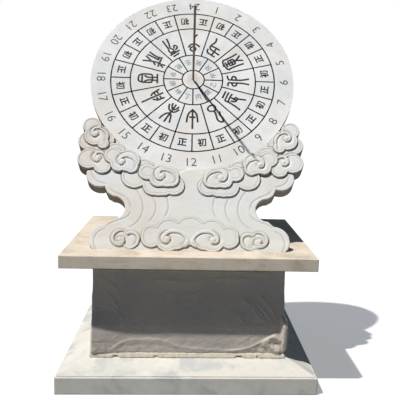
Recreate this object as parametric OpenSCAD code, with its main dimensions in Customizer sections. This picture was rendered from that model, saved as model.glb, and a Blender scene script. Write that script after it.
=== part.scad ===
// Garden sundial: a leaning stone dial in a carved cloud stand on a square pedestal.
// All sizes are in millimetres. The part stands on z = 0 with its front toward -Y.

/* [Base and pedestal] */
// Width of the square base stone
plinth_w = 1130; // [1100:5:1200]
// Height of the upright face of the base stone
plinth_face_h = 75; // [60:1:100]
// Width of the flat ledge round the top of the base stone
ledge_w = 10; // [4:1:20]
// Height of the small step behind the ledge
step_h = 4; // [2:1:8]
// Height of the sloping top of the base stone
weathering_h = 51; // [30:1:80]
// Flat margin left on the base stone round the pedestal
seat_margin = 12; // [6:1:25]
// Thickness of the mortar bed under the pedestal stone
mortar_t = 15; // [8:1:25]
// Distance that the mortar bed stays back from the pedestal's faces
mortar_inset = 8; // [2:1:20]
// Width of the square pedestal stone
die_w = 840; // [780:5:900]
// Height of the pedestal stone
die_h = 399; // [300:1:600]
// Width of the square top slab
cap_w = 1100; // [1060:5:1160]
// Thickness of the top slab
cap_t = 56; // [40:1:90]
// Width of the small chamfer on the edges of the dressed stones
arris = 3; // [1:0.5:6]
// Thickness of the protective film round the pedestal stone
film_t = 2; // [1:0.5:4]

/* [Cloud stand] */
// Angle between the face of the dial and the ground
slope = 58; // [54:1:62]
// Distance of the stand's front foot line from the middle of the pedestal
foot_forward = 424; // [400:1:460]
// Thickness of the stand behind the level of the dial's face
stand_t = 64; // [56:1:90]
// Depth of the dial's face behind the front plane of the carving
field_d = 20; // [18:1:30]
// Depth of the plain waist behind the front plane
floor_d = 14; // [11:1:17]
// Depth of the middle layer of clouds behind the front plane
second_d = 6; // [4:1:9]
// Height of the rims of the front clouds before the front plane
rim_rise = 2; // [1:1:4]
// Height of the scroll arms before the front plane
arm_rise = 4; // [2:1:6]
// Height of the eyes of the scrolls before the front plane
eye_rise = 6; // [4:1:9]
// Width of the rims round the clouds
rim_w = 13; // [9:1:16]
// Depth of the sunk field inside the rims
sink = 4; // [2:0.5:5]
// Width of the carved lines
line_w = 7; // [4:1:10]
// Depth of the carved lines
line_d = 4; // [2:0.5:6]

/* [Dial] */
// Diameter of the stone dial
disc_d = 1000; // [960:5:1010]
// Thickness of the stone dial
disc_t = 40; // [30:1:50]
// Distance up the slope from the foot line to the lowest point of the dial
seat_v = 412; // [405:1:430]
// Radial gap between the dial and its seat in the stand
seat_gap = 0.3; // [0.2:0.1:0.8]
// Radius of the plain centre of the dial
ring_1_r = 54.5; // [45:0.5:65]
// Outer radius of the ring of small signs
ring_2_r = 145.5; // [130:0.5:160]
// Outer radius of the ring of the twelve double hours
ring_3_r = 308.5; // [290:0.5:330]
// Outer radius of the ring of the half hours
ring_4_r = 403; // [385:0.5:420]
// Width of the engraved lines on the dial
cut_w = 5.5; // [2:0.5:7]
// Depth of the engraved lines on the dial
cut_d = 1.5; // [0.5:0.5:3]

/* [Gnomon] */
// Diameter of the gnomon rod
rod_d = 10; // [8:0.5:16]
// Length of the rod before the dial's face
rod_front = 555; // [450:5:600]
// Length of the rod behind the dial's back
rod_back = 30; // [10:1:80]
// Outer diameter of the metal sleeve in the middle of the dial
sleeve_d = 22; // [18:1:34]
// Diameter of the sleeve's flange behind the dial
flange_d = 60; // [40:1:90]
// Thickness of the sleeve's flange
flange_t = 6; // [3:1:10]

/* [Rear prop and pins] */
// Width of the prop stone behind the stand
prop_w = 340; // [240:5:380]
// Height of the prop stone
prop_h = 360; // [260:5:400]
// Depth of the flat top of the prop stone
prop_top = 110; // [60:5:160]
// Distance from the middle of the pedestal to the back of the prop stone
prop_back = 190; // [120:5:300]
// Height of the upright back face of the prop stone
prop_heel = 60; // [30:5:120]
// Diameter of the steel pins between the stones
pin_d = 20; // [12:1:26]
// Depth of a pin in each stone
pin_depth = 40; // [25:1:44]
// Diameter of the pins that hold the dial to the stand
dial_pin_d = 12; // [8:1:16]
// Depth of these pins in the dial
dial_pin_depth = 22; // [12:1:26]
// Distance of these pins from the rim of the dial
dial_pin_in = 130; // [110:5:150]
// Height of the stand behind the dial above the dial's lowest point
back_rise = 178; // [170:1:200]
// Radial gap of every pin in its hole
pin_gap = 0.2; // [0.1:0.1:0.4]

/* [Hidden] */
$fn = 96;
eps = 1;
seat_z = plinth_face_h + step_h + weathering_h;
die_z = seat_z + mortar_t;
cap_z = die_z + die_h;
top_z = cap_z + cap_t;
back_n = -field_d - stand_t;
disc_r = disc_d / 2;
dial_v = seat_v + disc_r;
disc_back_n = -field_d - disc_t;
die_pin_x = 250;
cap_pin_x = 260;
stand_pin_x = 180;
stand_pin_y = -foot_forward + 72;
prop_pin_x = 90;
prop_pin_y = -40;
dial_pin_r = disc_r - dial_pin_in;
dial_pin_fan = 24;
back_top_v = seat_v + back_rise;
prop_crown_y = -foot_forward + prop_h / tan(slope) - back_n / sin(slope);
arm_tip = 4;
arm_taper = 0.4;
large_fn = 180;
deep = 400;
low_arm_n = arm_rise - second_d;
low_eye_n = eye_rise - second_d / 2;

// Each cloud is a set of round lobes [across, up the slope, radius] on its right-hand side.
upper_cloud = [[470, 624, 44], [452, 570, 51], [433, 566, 45], [413, 530, 28]];
outer_cloud = [[362, 468, 42], [295, 444, 57], [277, 412, 32], [335, 425, 38]];
middle_cloud = [[140, 371, 57], [110, 366, 54], [92, 350, 37], [152, 350, 38], [203, 387, 40]];
foot_cloud = [[28, 45, 27], [62, 58, 50], [98, 52, 54], [0, 100, 70], [95, 95, 62], [172, 79, 44],
    [172, 62, 45]];
side_cloud = [[475, 452, 52], [410, 418, 41], [428, 455, 38]];
end_cloud = [[308, 62, 42], [255, 56, 42]];
upper_back = [[432, 556, 70], [478, 548, 52]];
outer_back = [[358, 489, 49], [222, 405, 52]];
middle_back = [[78, 322, 47], [126, 320, 49], [150, 330, 60], [172, 321, 49], [260, 367, 60]];
crest = [[0, 337, 76]];
hip_lobe = [415, 377, 66];
end_lobe = [375, 59, 72];
waist_cut = [352, 211, 55];

// The side of the slab between the foot and the hip, which the waist's round cut then hollows.
side_line = [[-eps, -60], [440, -60], [380, 128], [352, 156], [352, 266], [378, 282], [392, 312]];

// The scrolls: [across, up the slope, width of the arm, angle where the arm leaves the eye,
// angles and radii of the arm's outer edge].
middle_scroll = [138, 364, 25, 405, [[225, 18], [270, 20], [360, 28], [450, 53], [540, 82], [575, 90]]];
foot_scroll = [103, 55, 13, 405, [[225, 15], [270, 15], [360, 22], [405, 34], [450, 51], [495, 74],
    [555, 94]]];
outer_scroll = [320, 436, 22, 405, [[225, 15], [270, 16], [360, 20], [405, 28], [450, 42], [495, 60],
    [540, 76], [585, 82]]];
upper_scroll = [450, 580, 18, 405, [[225, 15], [270, 17], [360, 22], [405, 30], [450, 38], [495, 50],
    [540, 62], [585, 74], [610, 82]]];
side_scroll = [432, 455, 12, 405, [[225, 16], [270, 20], [360, 27], [450, 33], [540, 35], [560, 36]]];
end_scroll = [310, 54, 13, 560, [[270, 12], [360, 11], [450, 14], [540, 23], [630, 35], [720, 40],
    [810, 46], [880, 54]]];

// Carved lines of the waist: four points that steer each curve.
waist_lines = [[[118, 284], [94, 235], [94, 195], [124, 160]],
    [[184, 280], [146, 225], [146, 190], [190, 138]],
    [[262, 312], [196, 245], [196, 150], [278, 112]],
    [[372, 318], [366, 268], [268, 290], [268, 200]],
    [[268, 200], [268, 140], [360, 160], [378, 108]]];

function scroll_r(s, a) = lookup(a, s[4]);
function scroll_first(s) = s[4][0][0];
function scroll_last(s) = s[4][len(s[4]) - 1][0];
function arm_w(s, a) = min(s[2], arm_tip + (scroll_last(s) - a) * arm_taper);
function inner_r(s, a) = max(scroll_r(s, scroll_first(s)), scroll_r(s, a) - arm_w(s, a));
function at_angle(r, a) = [r * cos(a), r * sin(a)];
function curve(p, t) = pow(1 - t, 3) * p[0] + 3 * t * pow(1 - t, 2) * p[1]
    + 3 * t * t * (1 - t) * p[2] + pow(t, 3) * p[3];
function along(p, t) = curve(p, t + 0.01) - curve(p, t - 0.01);
function beside(p, t, w) = curve(p, t) + w * [-along(p, t)[1], along(p, t)[0]] / norm(along(p, t));

// A square stone with a chamfer on every edge.
module dressed_block(w, h) {
    intersection() {
        translate([0, 0, -eps])
            linear_extrude(h + 2 * eps)
                chamfered(w, w);
        translate([0, (w + 2 * eps) / 2, h / 2])
            rotate([90, 0, 0])
                linear_extrude(w + 2 * eps)
                    chamfered(w, h);
        translate([-(w + 2 * eps) / 2, 0, h / 2])
            rotate([90, 0, 90])
                linear_extrude(w + 2 * eps)
                    chamfered(w, h);
    }
}

module chamfered(w, h) {
    x = w / 2;
    y = h / 2;
    polygon([[-x + arris, -y], [x - arris, -y], [x, -y + arris], [x, y - arris],
        [x - arris, y], [-x + arris, y], [-x, y - arris], [-x, -y + arris]]);
}

// A hipped roof of square plan, made where two roof-shaped prisms cross.
module weathering(w, top_w, h) {
    intersection() {
        rotate([90, 0, 0])
            linear_extrude(w, center = true)
                polygon([[-w / 2, 0], [w / 2, 0], [top_w / 2, h], [-top_w / 2, h]]);
        rotate([90, 0, 90])
            linear_extrude(w, center = true)
                polygon([[-w / 2, 0], [w / 2, 0], [top_w / 2, h], [-top_w / 2, h]]);
    }
}

// Pairs of pins, or the holes for them, on either side of the middle plane.
module pin_pair(x, y, z, gap) {
    for (side = [-1, 1])
        translate([side * x, y, z - pin_depth])
            cylinder(d = pin_d + 2 * gap, h = 2 * pin_depth);
}

module base_plinth() {
    step_w = plinth_w - 2 * ledge_w;
    color("white")
    difference() {
        union() {
            dressed_block(plinth_w, plinth_face_h);
            translate([-step_w / 2, -step_w / 2, plinth_face_h - eps])
                cube([step_w, step_w, step_h + eps]);
            translate([0, 0, plinth_face_h + step_h])
                weathering(step_w, die_w + 2 * seat_margin, weathering_h);
        }
        pin_pair(die_pin_x, 0, seat_z, pin_gap);
    }
}

module plinth_mortar() {
    bed_w = die_w - 2 * mortar_inset;
    color("tan")
    difference() {
        translate([-bed_w / 2, -bed_w / 2, seat_z])
            cube([bed_w, bed_w, mortar_t]);
        pin_pair(die_pin_x, 0, seat_z, pin_gap);
    }
}

module pedestal_die() {
    color("lightgray")
    difference() {
        translate([0, 0, die_z])
            dressed_block(die_w, die_h);
        pin_pair(die_pin_x, 0, seat_z, pin_gap);
        pin_pair(cap_pin_x, 0, cap_z, pin_gap);
    }
}

module die_dowels() {
    color("silver")
        pin_pair(die_pin_x, 0, seat_z, 0);
}

module cap_dowels() {
    color("silver")
        pin_pair(cap_pin_x, 0, cap_z, 0);
}

// The film is drawn tight round the pedestal stone and stops short of the slab.
module protective_wrap() {
    inner_w = die_w + 2 * pin_gap;
    outer_w = inner_w + 2 * film_t;
    color("darkgray")
    translate([0, 0, die_z + arris])
        difference() {
            translate([-outer_w / 2, -outer_w / 2, 0])
                cube([outer_w, outer_w, die_h - 2 * arris]);
            translate([-inner_w / 2, -inner_w / 2, -eps])
                cube([inner_w, inner_w, die_h + 2 * eps]);
        }
}

module cap_slab() {
    color("wheat")
    difference() {
        translate([0, 0, cap_z])
            dressed_block(cap_w, cap_t);
        pin_pair(cap_pin_x, 0, cap_z, pin_gap);
        pin_pair(stand_pin_x, stand_pin_y, top_z, pin_gap);
        pin_pair(prop_pin_x, prop_pin_y, top_z, pin_gap);
    }
}

// Everything of the stand and dial is drawn flat and then laid on the slope.
module on_slope() {
    translate([0, -foot_forward, top_z])
        rotate([slope, 0, 0])
            children();
}

module both_sides() {
    children();
    mirror([1, 0, 0])
        children();
}

module lobes(list, inset) {
    for (p = list)
        translate([p[0], p[1]])
            circle(r = p[2] - inset);
}

// A layer of clouds: a raised rim round a field that lies a little lower. The rim stays in its
// own half, so that it doesn't cross the field of the other one.
module cloud_layer(list, from_n, to_n) {
    translate([0, 0, from_n])
        linear_extrude(to_n - from_n - sink)
            lobes(list, 0);
    translate([0, 0, to_n - sink - eps])
        linear_extrude(sink + eps)
            difference() {
                lobes(list, 0);
                lobes(list, rim_w);
                translate([-disc_d - eps, -disc_d])
                    square([disc_d, 3 * disc_d]);
            }
}

module scroll_arm(s) {
    translate([s[0], s[1]])
        polygon([for (a = [scroll_first(s) : 10 : scroll_last(s)]) at_angle(scroll_r(s, a), a),
            for (a = [scroll_last(s) : -10 : s[3]]) at_angle(inner_r(s, a), a),
            [0, 0]]);
}

// A scroll opens from a raised eye, and its arm ends inside the rim of its cloud.
module scroll(s, cloud, from_n, arm_n, eye_n) {
    translate([0, 0, from_n])
        linear_extrude(arm_n - from_n)
            intersection() {
                scroll_arm(s);
                lobes(cloud, arris);
            }
    translate([s[0], s[1], from_n])
        cylinder(r = scroll_r(s, scroll_first(s)), h = eye_n - from_n);
}

module carved_line(p) {
    steps = 14;
    translate([0, 0, -floor_d - line_d])
        linear_extrude(line_d + eps)
            polygon([for (i = [0 : steps]) beside(p, i / steps, line_w / 2),
                for (i = [steps : -1 : 0]) beside(p, i / steps, -line_w / 2)]);
}

// The outline of the whole slab: hips, narrow waist and spreading foot.
module stand_outline() {
    difference() {
        union() {
            polygon(concat(side_line, [[430, 400], [420, back_top_v], [-eps, back_top_v]]));
            lobes([hip_lobe, end_lobe], 0);
            lobes(side_cloud, 0);
            lobes(upper_back, 0);
            lobes(upper_cloud, 0);
        }
        lobes([waist_cut], 0);
    }
}

// The plain waist with its foot, a little before the level of the dial's face.
module waist_face() {
    difference() {
        union() {
            polygon(concat(side_line, [[400, 400], [-eps, 340]]));
            lobes([hip_lobe, end_lobe], 0);
            lobes(crest, 0);
            lobes(middle_back, 0);
        }
        lobes([waist_cut], 0);
    }
}

module half_stand() {
    difference() {
        union() {
            translate([0, 0, back_n])
                linear_extrude(stand_t)
                    stand_outline();
            translate([0, 0, -field_d - eps])
                linear_extrude(field_d - floor_d + eps)
                    waist_face();
        }
        for (p = waist_lines)
            carved_line(p);
    }
    cloud_layer(upper_back, -field_d - eps, -second_d);
    cloud_layer(outer_back, -field_d - eps, -second_d);
    cloud_layer(middle_back, -floor_d - eps, -second_d);
    cloud_layer(side_cloud, -field_d - eps, -second_d + rim_rise);
    cloud_layer(end_cloud, -floor_d - eps, -second_d);
    cloud_layer(upper_cloud, -field_d - eps, rim_rise);
    cloud_layer(outer_cloud, -field_d - eps, rim_rise);
    cloud_layer(middle_cloud, -field_d - eps, rim_rise);
    cloud_layer(foot_cloud, -floor_d - eps, 0);
    scroll(upper_scroll, upper_cloud, -second_d, arm_rise, eye_rise);
    scroll(outer_scroll, outer_cloud, -second_d, arm_rise, eye_rise);
    scroll(middle_scroll, middle_cloud, -second_d, arm_rise, eye_rise);
    scroll(foot_scroll, foot_cloud, -second_d, arm_rise, eye_rise);
    scroll(side_scroll, side_cloud, -field_d, low_arm_n, low_eye_n);
    scroll(end_scroll, end_cloud, -field_d, low_arm_n, low_eye_n);
}

module cloud_stand() {
    color("gainsboro")
    difference() {
        intersection() {
            on_slope()
                both_sides()
                    half_stand();
            translate([-disc_d, -disc_d, top_z])
                cube([2 * disc_d, 2 * disc_d, disc_d]);
        }
        on_slope()
            translate([0, dial_v, disc_back_n])
                cylinder(r = disc_r + seat_gap, h = deep, $fn = large_fn);
        on_slope()
            dial_pin_set(back_n - eps, disc_back_n + eps, pin_gap);
        pin_pair(stand_pin_x, stand_pin_y, top_z, pin_gap);
    }
}

module stand_dowels() {
    color("silver")
        pin_pair(stand_pin_x, stand_pin_y, top_z, 0);
}

// The prop stone leans its front against the back of the stand.
module rear_prop() {
    color("lightgray")
    difference() {
        translate([-prop_w / 2, 0, top_z])
            rotate([90, 0, 90])
                linear_extrude(prop_w)
                    polygon([[-foot_forward, 0], [prop_back, 0], [prop_back, prop_heel],
                        [prop_crown_y + prop_top, prop_h], [-foot_forward, prop_h]]);
        on_slope()
            translate([-prop_w, -disc_d, back_n])
                cube([2 * prop_w, 3 * disc_d, deep]);
        pin_pair(prop_pin_x, prop_pin_y, top_z, pin_gap);
    }
}

module prop_dowels() {
    color("silver")
        pin_pair(prop_pin_x, prop_pin_y, top_z, 0);
}

// Places of the pins through the stand into the dial, fanned about the dial's middle.
module dial_pin_set(from_n, to_n, gap) {
    for (turn = [-dial_pin_fan, 0, dial_pin_fan])
        translate([dial_pin_r * sin(turn), dial_v - dial_pin_r * cos(turn), from_n])
            cylinder(d = dial_pin_d + 2 * gap, h = to_n - from_n);
}

module dial_pins() {
    color("silver")
    on_slope()
        dial_pin_set(back_n, disc_back_n + dial_pin_depth, 0);
}

module line_ring(r) {
    difference() {
        circle(r = r + cut_w / 2, $fn = large_fn);
        circle(r = r - cut_w / 2, $fn = large_fn);
    }
}

// Lines like spokes between two rings, the first one at the angle "first".
module spokes(inner_r, outer_r, count, first) {
    for (i = [0 : count - 1])
        rotate(first + i * 360 / count)
            translate([inner_r, -cut_w / 2])
                square([outer_r - inner_r, cut_w]);
}

module dial_lines() {
    for (r = [ring_1_r, ring_2_r, ring_3_r, ring_4_r])
        line_ring(r);
    spokes(ring_1_r, ring_2_r, 12, 0);
    spokes(ring_2_r, ring_3_r, 12, 15);
    spokes(ring_3_r, ring_4_r, 24, 0);
}

module dial_disc() {
    color("ivory")
    on_slope()
        translate([0, dial_v, -field_d])
            difference() {
                translate([0, 0, -disc_t])
                    cylinder(r = disc_r, h = disc_t, $fn = large_fn);
                translate([0, 0, -cut_d])
                    linear_extrude(cut_d + eps)
                        dial_lines();
                translate([0, 0, -disc_t - eps])
                    cylinder(d = sleeve_d, h = disc_t + 2 * eps);
                translate([0, -dial_v, field_d])
                    dial_pin_set(disc_back_n - eps, disc_back_n + dial_pin_depth, pin_gap);
            }
}

module gnomon_sleeve() {
    color("dimgray")
    on_slope()
        translate([0, dial_v, disc_back_n])
            difference() {
                union() {
                    cylinder(d = sleeve_d, h = disc_t);
                    translate([0, 0, -flange_t])
                        cylinder(d = flange_d, h = flange_t);
                }
                translate([0, 0, -flange_t - eps])
                    cylinder(d = rod_d, h = disc_t + flange_t + 2 * eps);
            }
}

module gnomon_rod() {
    length = rod_front + disc_t + rod_back;
    nose = rod_d / 2;
    color("saddlebrown")
    on_slope()
        translate([0, dial_v, disc_back_n - rod_back])
            rotate_extrude()
                union() {
                    square([rod_d / 2, length - nose]);
                    intersection() {
                        translate([0, length - nose])
                            circle(r = nose);
                        translate([0, length - nose - eps])
                            square([nose, nose + eps]);
                    }
                }
}

base_plinth();
plinth_mortar();
pedestal_die();
die_dowels();
protective_wrap();
cap_slab();
cap_dowels();
cloud_stand();
stand_dowels();
rear_prop();
prop_dowels();
dial_disc();
dial_pins();
gnomon_sleeve();
gnomon_rod();
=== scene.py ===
# Garden sundial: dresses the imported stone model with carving, marble, painted hour signs and film.
import math

import bmesh
import bpy
import numpy as np
from mathutils import Matrix, Vector, noise


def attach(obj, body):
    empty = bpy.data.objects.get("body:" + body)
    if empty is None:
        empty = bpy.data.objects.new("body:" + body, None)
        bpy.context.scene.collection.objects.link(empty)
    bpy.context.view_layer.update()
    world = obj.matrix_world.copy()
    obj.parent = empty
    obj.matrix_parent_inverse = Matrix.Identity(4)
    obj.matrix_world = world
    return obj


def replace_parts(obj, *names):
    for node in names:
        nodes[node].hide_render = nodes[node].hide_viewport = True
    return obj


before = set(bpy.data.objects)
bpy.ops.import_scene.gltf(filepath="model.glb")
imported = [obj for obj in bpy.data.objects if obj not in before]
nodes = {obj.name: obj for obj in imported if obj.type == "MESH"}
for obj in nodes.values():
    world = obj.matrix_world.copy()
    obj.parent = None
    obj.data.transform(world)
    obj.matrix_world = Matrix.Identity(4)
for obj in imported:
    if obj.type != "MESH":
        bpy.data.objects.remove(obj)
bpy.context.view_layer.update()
mm = 0.001
print("stage: frame loaded,", len(nodes), "nodes")


def byNode(operation, swapped=False):
    return lambda one, other: one.sums(operation, *((other, one) if swapped else (one, other)))


class Wire:
    # wraps one socket, so that sums on it add Math nodes
    def __init__(self, shader, socket):
        self.shader = shader
        self.socket = socket

    def sums(self, operation, *values):
        return self.shader.add("ShaderNodeMath", {"operation": operation}, values)

    def size(self):
        return self.sums("ABSOLUTE", self)

    def floor(self):
        return self.sums("FLOOR", self)

    __add__, __radd__ = byNode("ADD"), byNode("ADD", True)
    __sub__, __rsub__ = byNode("SUBTRACT"), byNode("SUBTRACT", True)
    __mul__, __rmul__ = byNode("MULTIPLY"), byNode("MULTIPLY", True)
    __truediv__, power, most = byNode("DIVIDE"), byNode("POWER"), byNode("MAXIMUM")


class Shader:
    # the nodes of a new material, or of an owner such as the world
    def __init__(self, name, owner=None, surface="Principled BSDF", **constants):
        self.owner = owner or bpy.data.materials.new(name)
        self.owner.use_nodes = True
        self.tree = self.owner.node_tree
        self.surface = self.tree.nodes[surface]
        for key, value in constants.items():
            self.surface.inputs[key.replace("_", " ")].default_value = value
        self.place = self.add("ShaderNodeTexCoord", out="Object")

    def add(self, kind, settings=None, sockets=(), out=0):
        node = self.tree.nodes.new(kind)
        for key, value in (settings or {}).items():
            setattr(node, key, value)
        for key, value in sockets.items() if isinstance(sockets, dict) else enumerate(sockets):
            self.feed(node.inputs[key], value)
        return Wire(self, node.outputs[out])

    def feed(self, target, value):
        if isinstance(value, Wire):
            self.tree.links.new(value.socket, target)
        elif isinstance(value, (tuple, list)) and len(value) == 3 and target.type == "RGBA":
            target.default_value = (*value, 1)
        else:
            target.default_value = value

    def attribute(self, name):
        return self.add("ShaderNodeAttribute", {"attribute_name": name}, out="Fac")

    def stretch(self, factors):
        return self.add("ShaderNodeVectorMath", {"operation": "MULTIPLY"}, [self.place, factors])

    def noise(self, scale, detail=3, rough=0.55, distort=0.0, place=None):
        sockets = {"Vector": place or self.place, "Scale": scale, "Detail": detail}
        sockets.update({"Roughness": rough, "Distortion": distort})
        return self.add("ShaderNodeTexNoise", {}, sockets)

    def band(self, value, low, high):
        return self.add("ShaderNodeMapRange", {"interpolation_type": "SMOOTHSTEP"},
                        {"Value": value, "From Min": low, "From Max": high})

    def mix(self, factor, first, second, blend="MIX"):
        settings = {"data_type": "RGBA", "blend_type": blend}
        return self.add("ShaderNodeMix", settings, {0: factor, 6: first, 7: second}, out=2)

    def bump(self, height, strength, distance, under=None):
        sockets = {"Height": height, "Strength": strength, "Distance": distance}
        if under:
            sockets["Normal"] = under
        return self.add("ShaderNodeBump", {}, sockets)

    def finish(self, **links):
        for key, value in links.items():
            self.feed(self.surface.inputs[key.replace("_", " ")], value)
        return self.owner


def newObject(name, data, turn=(0, 0, 0), at=(0, 0, 0)):
    thing = bpy.data.objects.new(name, data)
    thing.location = at
    thing.rotation_euler = [math.radians(a) for a in turn]
    bpy.context.scene.collection.objects.link(thing)
    return thing


def newGrid(columns, rows, size=0.5):
    bm = bmesh.new()
    bmesh.ops.create_grid(bm, x_segments=columns, y_segments=rows, size=size)
    return bm


def newMesh(name, bm, material):
    mesh = bpy.data.meshes.new(name)
    bm.to_mesh(mesh)
    bm.free()
    mesh.materials.append(material)
    return mesh


def closeUp(bm, edges):
    bmesh.ops.holes_fill(bm, edges=edges, sides=0)
    bmesh.ops.recalc_face_normals(bm, faces=bm.faces)


def fromMesh(name, bm, material, smooth=40):
    # turns a finished bmesh into a piece that rides on the root body
    mesh = newMesh(name, bm, material)
    mesh.polygons.foreach_set("use_smooth", [True] * len(mesh.polygons))
    mesh.set_sharp_from_angle(angle=math.radians(smooth))
    piece = newObject(name, mesh)
    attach(piece, "root")
    return piece


# The slope that carries the stand and the dial, in millimetres: across, up the slope, out of the face

slope = {"angle": 58, "footForward": 424, "capTop": 600}
onSlope = (Matrix.Translation((0, -slope["footForward"] * mm, slope["capTop"] * mm))
           @ Matrix.Rotation(math.radians(slope["angle"]), 4, "X") @ Matrix.Scale(mm, 4))


def slopePlace(shader):
    # the same three measures inside a material
    across, back, high = [shader.add("ShaderNodeSeparateXYZ", {}, [shader.place], out=axis) * 1000
                          for axis in range(3)]
    back, high = back + slope["footForward"], high - slope["capTop"]
    turn = math.radians(slope["angle"])
    up = back * math.cos(turn) + high * math.sin(turn)
    return across, up, high * math.cos(turn) - back * math.sin(turn)


# Finishes

# the dial: its middle and face on the slope, the half width of its painted lines and how deep they reach,
# its rings, and its spokes from ring to ring with their count and first turn, in cells
dialForm = {"middle": 912, "face": -20, "line": (2.9, 3.4), "deep": (-23, -22),
            "rings": (54.5, 145.5, 308.5, 403),
            "spokes": ((54.5, 145.5, 12, 0.0), (145.5, 308.5, 12, 0.5), (308.5, 403, 24, 0.0))}
linePaint = (0.012, 0.012, 0.013)
hubRust = {"wander": 30, "band": (22, 66), "strength": 0.5, "colour": (0.50, 0.37, 0.26)}
# what all the stones share: scales of grain and specks, and where clouding, patches and dirt fade in
stoneForm = {"grain": 260, "speck": 55, "clouds": (0.42, 0.68), "patches": (0.46, 0.66),
             "dirtBand": (0.3, 0.8), "dirtStrength": 0.10, "dirt": (0.42, 0.40, 0.37)}
greyVeins = {"scale": 2.1, "twist": 1.2, "width": 0.05, "strength": 0.16, "colour": (0.6, 0.6, 0.6)}
capVeins = {"scale": 3.4, "twist": 0.8, "width": 0.1, "strength": 0.18, "colour": (0.5, 0.43, 0.32)}
plinthVeins = {"scale": 5, "twist": 0.5, "width": 0.13, "strength": 0.14, "colour": (0.42, 0.41, 0.375)}
capStrata = {"stretch": (5, 5, 70), "band": (0.48, 0.68), "strength": 0.45, "colour": (0.49, 0.395, 0.275)}
# the stand's own: clouding that is warmer to the left, creases darkened brown as painted shade, rough sawn
# sides darkened brown, partly their own colour and partly painted shade, with less of it on the back and
# less to the right, where painted bounce light stands in, a foot that turns darker and greyer low down, and
# fine marks of the tool across the slope
carvedLook = {
    "warmRun": 5000, "crease": {"strength": 0.72, "colour": (0.31, 0.25, 0.185)},
    "sawnAndShaded": {"strength": 0.85, "colour": (0.25, 0.20, 0.145), "scale": 90, "back": (-83.9, -83),
             "onBack": 0.3, "right": (-50, 300), "fade": 0.4},
    "foot": {"low": 50, "high": 370, "wander": 200, "strength": 0.65, "colour": (0.625, 0.60, 0.54)},
    "tool": {"stretch": (25, 130, 130), "strength": 0.3, "depth": 0.0016}}


def paintedDial(shader, colour, speck):
    # a rust stain round the rod, then the black of the engraved rings and spokes
    across, up, out = slopePlace(shader)
    up = up - dialForm["middle"]
    radius = (across * across + up * up).power(0.5)
    angle = shader.add("ShaderNodeMath", {"operation": "ARCTAN2"}, [up, across])
    stain = 1 - shader.band(radius + hubRust["wander"] * speck, *hubRust["band"])
    colour = shader.mix(stain * hubRust["strength"], colour, hubRust["colour"])
    lines = [1 - shader.band((radius - ring).size(), *dialForm["line"]) for ring in dialForm["rings"]]
    for low, high, count, first in dialForm["spokes"]:
        turns = angle * (count / (2 * math.pi)) + (first + 0.5)
        near = ((turns - turns.floor()) - 0.5).size() * radius * (2 * math.pi / count)
        line = (1 - shader.band(near, *dialForm["line"])) * shader.band(radius, low - 1, low + 1)
        lines.append(line * (1 - shader.band(radius, high - 1, high + 1)))
    total = lines[0]
    for line in lines[1:]:
        total = total.most(line)
    return shader.mix(total * shader.band(out, *dialForm["deep"]), colour, linePaint)


def splashed(shader, foot, colour, patches):
    # darker and greyer towards the foot of the stand, fading out up the slope
    up = slopePlace(shader)[1]
    lowShare = 1 - shader.band(up + foot["wander"] * patches, foot["low"], foot["high"])
    return shader.mix(lowShare * foot["strength"], colour, foot["colour"])


def chiselled(shader, look, colour, normal):
    crease, sawnAndShaded, tool = look["crease"], look["sawnAndShaded"], look["tool"]
    # creases darkened brown: painted shade
    colour = shader.mix(shader.attribute("crease") * crease["strength"], colour, crease["colour"])
    across, _, out = slopePlace(shader)
    # sawn sides darkened brown: partly their rough colour, partly painted shade, fainter on the back and
    # lighter to the right as painted bounce light
    side = sawnAndShaded["onBack"] + (1 - sawnAndShaded["onBack"]) * shader.band(out, *sawnAndShaded["back"])
    side = shader.attribute("sawnAndShaded") * side * (1 - sawnAndShaded["fade"] * shader.band(across, *sawnAndShaded["right"]))
    colour = shader.mix(side * sawnAndShaded["strength"], colour, sawnAndShaded["colour"])
    normal = shader.bump(shader.noise(sawnAndShaded["scale"], 2, 0.5) * side, 0.6, 0.004, normal)
    marks = shader.noise(1, 2, 0.5, 0.0, shader.stretch(tool["stretch"]))
    return colour, shader.bump(marks, tool["strength"], tool["depth"], normal)


def marble(name, tones, veins, spread=(3.2, 7.5), rough=0.55, carved=None, strata=None, lined=False):
    tone, warm, cool = tones
    shader = Shader(name, Roughness=rough, Specular_IOR_Level=0.0)
    clouds = shader.noise(spread[0], 4, 0.6, 0.4)
    patches = shader.noise(spread[1], 4, 0.6, 0.6)
    speck = shader.noise(stoneForm["speck"], 3, 0.7)
    if carved:
        clouds = clouds - slopePlace(shader)[0] / carved["warmRun"]
    colour = shader.mix(shader.band(clouds, *stoneForm["clouds"]), tone, warm)
    colour = shader.mix(shader.band(patches, *stoneForm["patches"]), colour, cool)
    streak = shader.noise(veins["scale"], 5, 0.65, veins["twist"])
    line = 1 - shader.band((streak - 0.5).size(), 0.0, veins["width"])
    colour = shader.mix(line * veins["strength"], colour, veins["colour"])
    if carved:
        colour = splashed(shader, carved["foot"], colour, patches)
    dirt = shader.band(speck, *stoneForm["dirtBand"]) * stoneForm["dirtStrength"]
    colour = shader.mix(dirt, colour, stoneForm["dirt"])
    normal = shader.bump(shader.noise(stoneForm["grain"], 2, 0.6), 0.18, 0.0006)
    normal = shader.bump(speck, 0.22, 0.0011, normal)
    if carved:
        colour, normal = chiselled(shader, carved, colour, normal)
    if strata:
        layer = shader.noise(1, 4, 0.65, 0.3, shader.stretch(strata["stretch"]))
        layer = shader.band(layer, *strata["band"]) * strata["strength"]
        colour = shader.mix(layer, colour, strata["colour"])
    if lined:
        colour = paintedDial(shader, colour, speck)
    return shader.finish(Base_Color=colour, Roughness=rough - 0.08 + 0.16 * speck, Normal=normal)


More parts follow.
